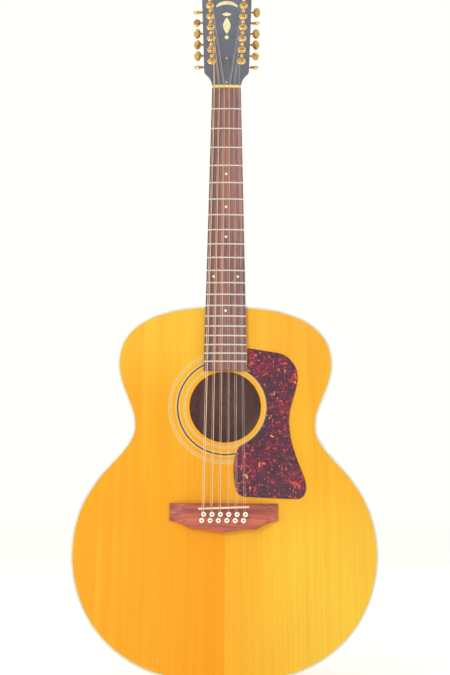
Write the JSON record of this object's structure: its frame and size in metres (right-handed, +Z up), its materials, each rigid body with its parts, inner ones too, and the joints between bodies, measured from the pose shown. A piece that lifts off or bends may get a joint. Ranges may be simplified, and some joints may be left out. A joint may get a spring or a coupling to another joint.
{
  "type": "twelve-string acoustic guitar",
  "caption": "Jumbo acoustic guitar with a slanted saddle on a pin bridge, a large scratch plate, an angled headstock, geared tuners and paired steel strings.",
  "frame": {"origin": "on the centreline where the strings leave the nut, in the plane of the soundboard", "axes": "+Z up the neck to the headstock, -Y out of the soundboard towards the player's audience, +X to the treble side"},
  "size_m": [0.4288, 0.1367, 1.1174],
  "materials": {
    "spruce_top": "gloss amber lacquer over straight-grained spruce",
    "maple_body": "gloss lacquer over figured maple",
    "cream_binding": "polished cream celluloid",
    "mahogany": "gloss lacquer over brown mahogany",
    "inner_wood": "unfinished sanded wood",
    "rosewood": "oiled open-pored rosewood",
    "black_face": "gloss black",
    "tortoiseshell": "polished mottled red-brown plastic",
    "bone": "satin bone",
    "gold_metal": "gold-plated, polished",
    "plain_steel": "bright drawn wire",
    "wound_bronze": "bronze wound wire"
  },
  "bodies": {
    "guitar": {"soundboard": "spruce_top", "back": "maple_body", "side_bass": "maple_body", "side_treble": "maple_body", "binding_front": "cream_binding", "binding_back": "cream_binding", "lining_front_bass": "inner_wood", "lining_front_treble": "inner_wood", "lining_back_bass": "inner_wood", "lining_back_treble": "inner_wood", "top_braces": "inner_wood", "neck_block": "mahogany", "tail_block": "mahogany", "pickguard": "tortoiseshell", "bridge": "rosewood", "saddle": "bone", "nut": "bone", "neck": "mahogany", "fretboard": "rosewood", "headstock_overlay": "black_face", "truss_rod_cover": "black_face", "end_pin": "cream_binding", "tuner_strip_bass": "gold_metal", "tuner_strip_treble": "gold_metal", "string_1_octave": "wound_bronze", "string_1_main": "wound_bronze", "string_2_octave": "wound_bronze", "string_2_main": "wound_bronze", "string_3_octave": "plain_steel", "string_3_main": "wound_bronze", "string_4_octave": "plain_steel", "string_4_main": "wound_bronze", "string_5_octave": "plain_steel", "string_5_main": "plain_steel", "string_6_octave": "plain_steel", "string_6_main": "plain_steel"},
    "knob_bass_1": {"knob_bass_1": "gold_metal"},
    "post_bass_1": {"post_bass_1": "gold_metal"},
    "knob_bass_2": {"knob_bass_2": "gold_metal"},
    "post_bass_2": {"post_bass_2": "gold_metal"},
    "knob_bass_3": {"knob_bass_3": "gold_metal"},
    "post_bass_3": {"post_bass_3": "gold_metal"},
    "knob_bass_4": {"knob_bass_4": "gold_metal"},
    "post_bass_4": {"post_bass_4": "gold_metal"},
    "knob_bass_5": {"knob_bass_5": "gold_metal"},
    "post_bass_5": {"post_bass_5": "gold_metal"},
    "knob_bass_6": {"knob_bass_6": "gold_metal"},
    "post_bass_6": {"post_bass_6": "gold_metal"},
    "knob_treble_1": {"knob_treble_1": "gold_metal"},
    "post_treble_1": {"post_treble_1": "gold_metal"},
    "knob_treble_2": {"knob_treble_2": "gold_metal"},
    "post_treble_2": {"post_treble_2": "gold_metal"},
    "knob_treble_3": {"knob_treble_3": "gold_metal"},
    "post_treble_3": {"post_treble_3": "gold_metal"},
    "knob_treble_4": {"knob_treble_4": "gold_metal"},
    "post_treble_4": {"post_treble_4": "gold_metal"},
    "knob_treble_5": {"knob_treble_5": "gold_metal"},
    "post_treble_5": {"post_treble_5": "gold_metal"},
    "knob_treble_6": {"knob_treble_6": "gold_metal"},
    "post_treble_6": {"post_treble_6": "gold_metal"}
  },
  "joints": [
    {"name": "turn_knob_bass_1", "type": "hinge", "parent": "guitar", "child": "knob_bass_1", "pos_m": [-0.0243, 0.03571, 0.06369], "axis": [-1, 0, 0], "continuous": true},
    {"name": "turn_post_bass_1", "type": "hinge", "parent": "guitar", "child": "post_bass_1", "pos_m": [-0.0243, 0.01369, 0.06094], "axis": [0, -0.9703, 0.2419], "continuous": true},
    {"name": "turn_knob_bass_2", "type": "hinge", "parent": "guitar", "child": "knob_bass_2", "pos_m": [-0.02524, 0.04212, 0.0894], "axis": [-1, 0, 0], "continuous": true},
    {"name": "turn_post_bass_2", "type": "hinge", "parent": "guitar", "child": "post_bass_2", "pos_m": [-0.02524, 0.0201, 0.08665], "axis": [0, -0.9703, 0.2419], "continuous": true},
    {"name": "turn_knob_bass_3", "type": "hinge", "parent": "guitar", "child": "knob_bass_3", "pos_m": [-0.02618, 0.04854, 0.11511], "axis": [-1, 0, 0], "continuous": true},
    {"name": "turn_post_bass_3", "type": "hinge", "parent": "guitar", "child": "post_bass_3", "pos_m": [-0.02618, 0.02652, 0.11236], "axis": [0, -0.9703, 0.2419], "continuous": true},
    {"name": "turn_knob_bass_4", "type": "hinge", "parent": "guitar", "child": "knob_bass_4", "pos_m": [-0.02712, 0.05495, 0.14083], "axis": [-1, 0, 0], "continuous": true},
    {"name": "turn_post_bass_4", "type": "hinge", "parent": "guitar", "child": "post_bass_4", "pos_m": [-0.02712, 0.03293, 0.13807], "axis": [0, -0.9703, 0.2419], "continuous": true},
    {"name": "turn_knob_bass_5", "type": "hinge", "parent": "guitar", "child": "knob_bass_5", "pos_m": [-0.02806, 0.06136, 0.16654], "axis": [-1, 0, 0], "continuous": true},
    {"name": "turn_post_bass_5", "type": "hinge", "parent": "guitar", "child": "post_bass_5", "pos_m": [-0.02806, 0.03934, 0.16379], "axis": [0, -0.9703, 0.2419], "continuous": true},
    {"name": "turn_knob_bass_6", "type": "hinge", "parent": "guitar", "child": "knob_bass_6", "pos_m": [-0.029, 0.06777, 0.19225], "axis": [-1, 0, 0], "continuous": true},
    {"name": "turn_post_bass_6", "type": "hinge", "parent": "guitar", "child": "post_bass_6", "pos_m": [-0.029, 0.04575, 0.1895], "axis": [0, -0.9703, 0.2419], "continuous": true},
    {"name": "turn_knob_treble_1", "type": "hinge", "parent": "guitar", "child": "knob_treble_1", "pos_m": [0.0243, 0.03571, 0.06369], "axis": [1, 0, 0], "continuous": true},
    {"name": "turn_post_treble_1", "type": "hinge", "parent": "guitar", "child": "post_treble_1", "pos_m": [0.0243, 0.01369, 0.06094], "axis": [0, -0.9703, 0.2419], "continuous": true},
    {"name": "turn_knob_treble_2", "type": "hinge", "parent": "guitar", "child": "knob_treble_2", "pos_m": [0.02524, 0.04212, 0.0894], "axis": [1, 0, 0], "continuous": true},
    {"name": "turn_post_treble_2", "type": "hinge", "parent": "guitar", "child": "post_treble_2", "pos_m": [0.02524, 0.0201, 0.08665], "axis": [0, -0.9703, 0.2419], "continuous": true},
    {"name": "turn_knob_treble_3", "type": "hinge", "parent": "guitar", "child": "knob_treble_3", "pos_m": [0.02618, 0.04854, 0.11511], "axis": [1, 0, 0], "continuous": true},
    {"name": "turn_post_treble_3", "type": "hinge", "parent": "guitar", "child": "post_treble_3", "pos_m": [0.02618, 0.02652, 0.11236], "axis": [0, -0.9703, 0.2419], "continuous": true},
    {"name": "turn_knob_treble_4", "type": "hinge", "parent": "guitar", "child": "knob_treble_4", "pos_m": [0.02712, 0.05495, 0.14083], "axis": [1, 0, 0], "continuous": true},
    {"name": "turn_post_treble_4", "type": "hinge", "parent": "guitar", "child": "post_treble_4", "pos_m": [0.02712, 0.03293, 0.13807], "axis": [0, -0.9703, 0.2419], "continuous": true},
    {"name": "turn_knob_treble_5", "type": "hinge", "parent": "guitar", "child": "knob_treble_5", "pos_m": [0.02806, 0.06136, 0.16654], "axis": [1, 0, 0], "continuous": true},
    {"name": "turn_post_treble_5", "type": "hinge", "parent": "guitar", "child": "post_treble_5", "pos_m": [0.02806, 0.03934, 0.16379], "axis": [0, -0.9703, 0.2419], "continuous": true},
    {"name": "turn_knob_treble_6", "type": "hinge", "parent": "guitar", "child": "knob_treble_6", "pos_m": [0.029, 0.06777, 0.19225], "axis": [1, 0, 0], "continuous": true},
    {"name": "turn_post_treble_6", "type": "hinge", "parent": "guitar", "child": "post_treble_6", "pos_m": [0.029, 0.04575, 0.1895], "axis": [0, -0.9703, 0.2419], "continuous": true}
  ],
  "couplings": [
    {"joint": "turn_post_bass_1", "follows": "turn_knob_bass_1", "ratio": -0.071429},
    {"joint": "turn_post_bass_2", "follows": "turn_knob_bass_2", "ratio": -0.071429},
    {"joint": "turn_post_bass_3", "follows": "turn_knob_bass_3", "ratio": -0.071429},
    {"joint": "turn_post_bass_4", "follows": "turn_knob_bass_4", "ratio": -0.071429},
    {"joint": "turn_post_bass_5", "follows": "turn_knob_bass_5", "ratio": -0.071429},
    {"joint": "turn_post_bass_6", "follows": "turn_knob_bass_6", "ratio": -0.071429},
    {"joint": "turn_post_treble_1", "follows": "turn_knob_treble_1", "ratio": 0.071429},
    {"joint": "turn_post_treble_2", "follows": "turn_knob_treble_2", "ratio": 0.071429},
    {"joint": "turn_post_treble_3", "follows": "turn_knob_treble_3", "ratio": 0.071429},
    {"joint": "turn_post_treble_4", "follows": "turn_knob_treble_4", "ratio": 0.071429},
    {"joint": "turn_post_treble_5", "follows": "turn_knob_treble_5", "ratio": 0.071429},
    {"joint": "turn_post_treble_6", "follows": "turn_knob_treble_6", "ratio": 0.071429}
  ]
}
